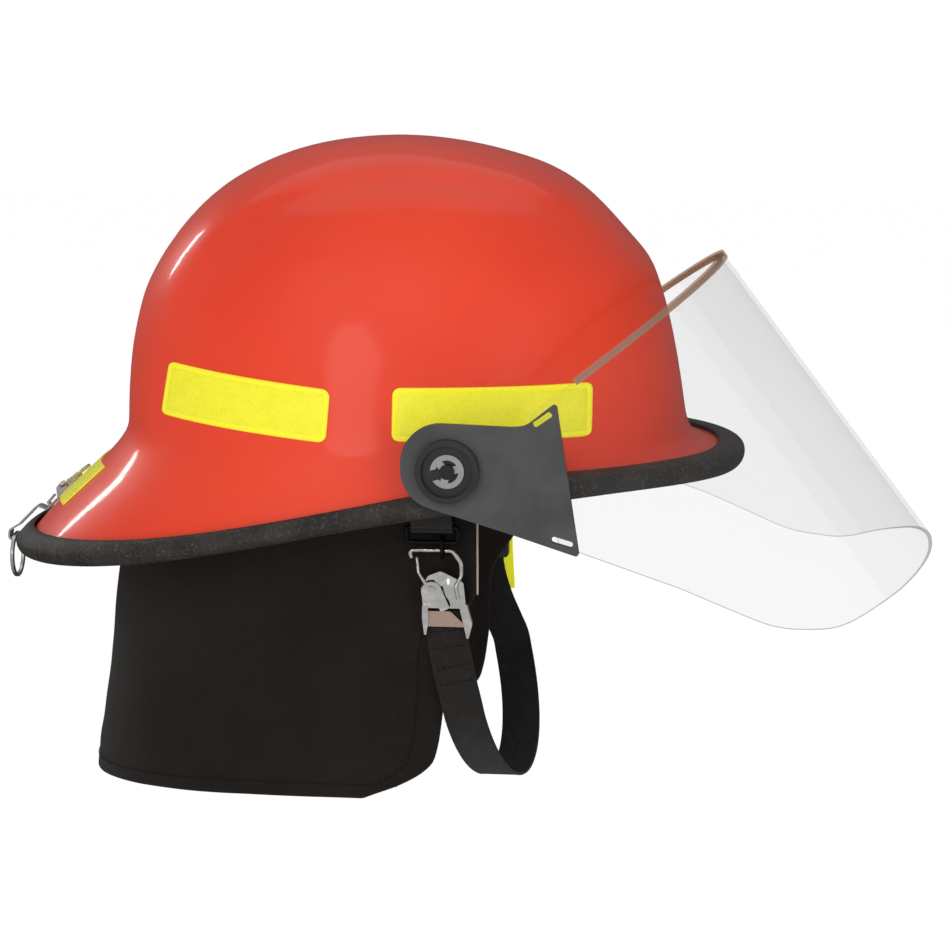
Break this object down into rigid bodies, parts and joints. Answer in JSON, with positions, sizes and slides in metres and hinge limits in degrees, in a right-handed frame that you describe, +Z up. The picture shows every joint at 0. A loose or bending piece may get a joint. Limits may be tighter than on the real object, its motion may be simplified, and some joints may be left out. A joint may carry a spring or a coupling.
{
  "type": "firefighter helmet",
  "caption": "Structural fire helmet: domed brimmed shell with tilting clear faceshield, head suspension with ratchet, neck protector, chin strap with quick-release buckle and rear hanging ring.",
  "frame": {"origin": "centre of the head opening, at the height of the shell's side rim", "axes": "+X to the wearer's left, -Y to the front, +Z up"},
  "size_m": [0.294, 0.4774, 0.324],
  "materials": {
    "shell_red": "high gloss moulded-in red-orange",
    "trim_rubber": "matt dark rubber with a coarse grain",
    "liner_foam": "moulded energy-absorbing foam with a cloth-like face",
    "band_plastic": "satin black nylon",
    "knob_plastic": "satin black nylon, fluted",
    "pad_cloth": "brushed padded cloth",
    "webbing": "black woven webbing",
    "flap_cloth": "black-brown flame-resistant cloth",
    "fastener_hooks": "woven hook tape",
    "lime_tape": "fluorescent lime-yellow retroreflective sheeting",
    "clear_sheet": "clear hard-coated polycarbonate",
    "channel_edge": "tinted clear edge moulding",
    "bracket_plastic": "charcoal moulded nylon, fine grain",
    "steel": "zinc-plated steel",
    "chrome_plate": "nickel-chrome plated",
    "black_wire": "black painted wire",
    "yellow_webbing": "yellow aramid webbing"
  },
  "bodies": {
    "helmet": {"outer_shell": "shell_red", "edge_trim": "trim_rubber", "impact_liner": "liner_foam", "headband": "band_plastic", "brow_pad": "pad_cloth", "ratchet_housing": "band_plastic", "nape_pad": "pad_cloth", "crown_strap_1": "webbing", "crown_strap_2": "webbing", "crown_strap_3": "webbing", "suspension_keys": "band_plastic", "suspension_hangers": "band_plastic", "crown_rivet": "steel", "neck_protector": "flap_cloth", "flap_fastener_strip": "fastener_hooks", "reflective_tape_front_right": "lime_tape", "reflective_tape_front_left": "lime_tape", "reflective_tape_back_right": "lime_tape", "reflective_tape_back_left": "lime_tape", "reflective_tape_rear_brim": "lime_tape", "pivot_boss_right": "bracket_plastic", "pivot_boss_left": "bracket_plastic", "pivot_pin_right": "steel", "pivot_pin_left": "steel", "pivot_nuts": "steel", "friction_washers": "bracket_plastic", "e_clips": "steel", "strap_anchor_right": "band_plastic", "strap_anchor_left": "band_plastic", "anchor_rivets": "steel", "hanger_clip": "steel", "clip_rivet": "steel"},
    "visor": {"faceshield": "clear_sheet", "shield_top_channel": "channel_edge", "visor_bracket_right": "bracket_plastic", "visor_bracket_left": "bracket_plastic", "shield_studs_right": "clear_sheet", "shield_studs_left": "clear_sheet", "tension_cup_right": "bracket_plastic", "tension_cup_left": "bracket_plastic"},
    "chin": {"chin_strap": "webbing", "quick_release_hook": "chrome_plate", "gate_rivet": "chrome_plate", "gate_spring": "steel", "strap_link": "black_wire", "strap_ring_right": "black_wire", "strap_ring_left": "black_wire", "hanger_tab_right": "webbing", "hanger_tab_left": "webbing", "strap_slide": "band_plastic", "pull_tab": "yellow_webbing"},
    "gate": {"quick_release_gate": "chrome_plate"},
    "knob": {"ratchet_knob": "knob_plastic", "ratchet_pinion": "band_plastic"},
    "nape_left": {"nape_strap_left": "band_plastic"},
    "nape_right": {"nape_strap_right": "band_plastic"},
    "bail": {"clip_bail": "steel"},
    "ring": {"hang_ring": "steel"}
  },
  "joints": [
    {"name": "visor_tilt", "type": "hinge", "parent": "helmet", "child": "visor", "pos_m": [0, -0.0386, 0.0244], "axis": [-1, 0, 0], "range_deg": [-39, 48]},
    {"name": "chin_strap_swing", "type": "hinge", "parent": "helmet", "child": "chin", "pos_m": [0, -0.024, 0.012], "axis": [-1, 0, 0], "range_deg": [0, 35]},
    {"name": "buckle_gate", "type": "hinge", "parent": "chin", "child": "gate", "pos_m": [-0.104, -0.0258, -0.0403], "axis": [1, 0, 0], "range_deg": [0, 20], "stiffness_Nm_per_rad": 0.02, "springref_deg": -14.32},
    {"name": "ratchet_turn", "type": "hinge", "parent": "helmet", "child": "knob", "pos_m": [0, 0.101, -0.008], "axis": [0, 1, 0], "range_deg": [-45, 90]},
    {"name": "nape_left_slide", "type": "hinge", "parent": "helmet", "child": "nape_left", "pos_m": [0, 0.027, -0.008], "axis": [0, 0, -1], "range_deg": [-3.7, 7.3]},
    {"name": "nape_right_slide", "type": "hinge", "parent": "helmet", "child": "nape_right", "pos_m": [0, 0.027, -0.008], "axis": [0, 0, 1], "range_deg": [-3.7, 7.3]},
    {"name": "bail_flip", "type": "hinge", "parent": "helmet", "child": "bail", "pos_m": [0, 0.1823, -0.0093], "axis": [-1, 0, 0], "range_deg": [0, 110]},
    {"name": "ring_swing", "type": "hinge", "parent": "helmet", "child": "ring", "pos_m": [0, 0.2072, -0.0352], "axis": [1, 0, 0], "range_deg": [-10, 95]}
  ],
  "couplings": [
    {"joint": "nape_left_slide", "follows": "ratchet_turn", "ratio": 0.08086},
    {"joint": "nape_right_slide", "follows": "ratchet_turn", "ratio": 0.08086}
  ]
}
